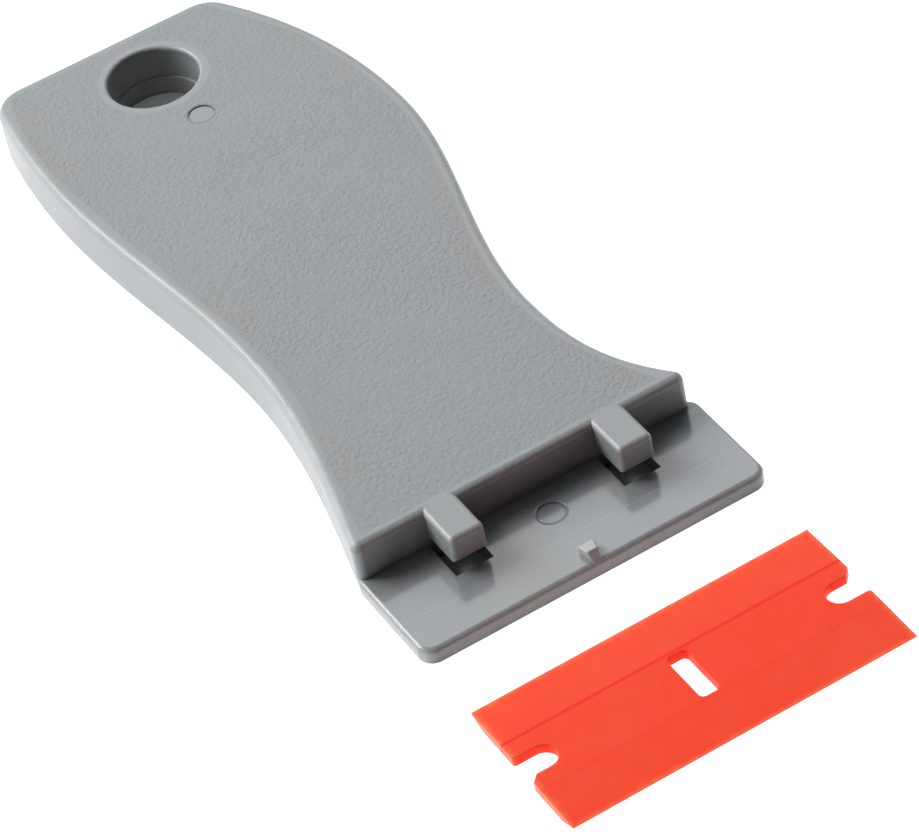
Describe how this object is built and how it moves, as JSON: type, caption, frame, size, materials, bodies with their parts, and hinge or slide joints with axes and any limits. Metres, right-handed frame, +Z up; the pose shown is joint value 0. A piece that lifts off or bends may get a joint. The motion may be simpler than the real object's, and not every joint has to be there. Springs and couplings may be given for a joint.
{
  "type": "algae scraper",
  "caption": "Flat waisted hand scraper with a hanging hole and a hooked ledge at the front, and a detachable double-edged plastic blade that slides in under the hooks.",
  "frame": {"origin": "midway between the hooks, on the underside, at the foot of the shoulder wall that stops the blade", "axes": "+X from the handle towards the blade's cutting edge, +Y across the handle, +Z up from the underside through the palm face"},
  "size_m": [0.1337, 0.0415, 0.0067],
  "materials": {
    "grey_plastic": "fine moulded grain on the palm, smoother on the ledge and edges",
    "orange_plastic": "smooth, slightly translucent"
  },
  "bodies": {
    "handle": {"handle": "grey_plastic"},
    "blade": {"blade": "orange_plastic"}
  },
  "joints": [
    {"name": "blade_slide", "type": "slide", "parent": "handle", "child": "blade", "axis": [-0.9979, 0.0645, 0], "range_m": [0, 0.02325], "deforming": ["blade"]}
  ]
}
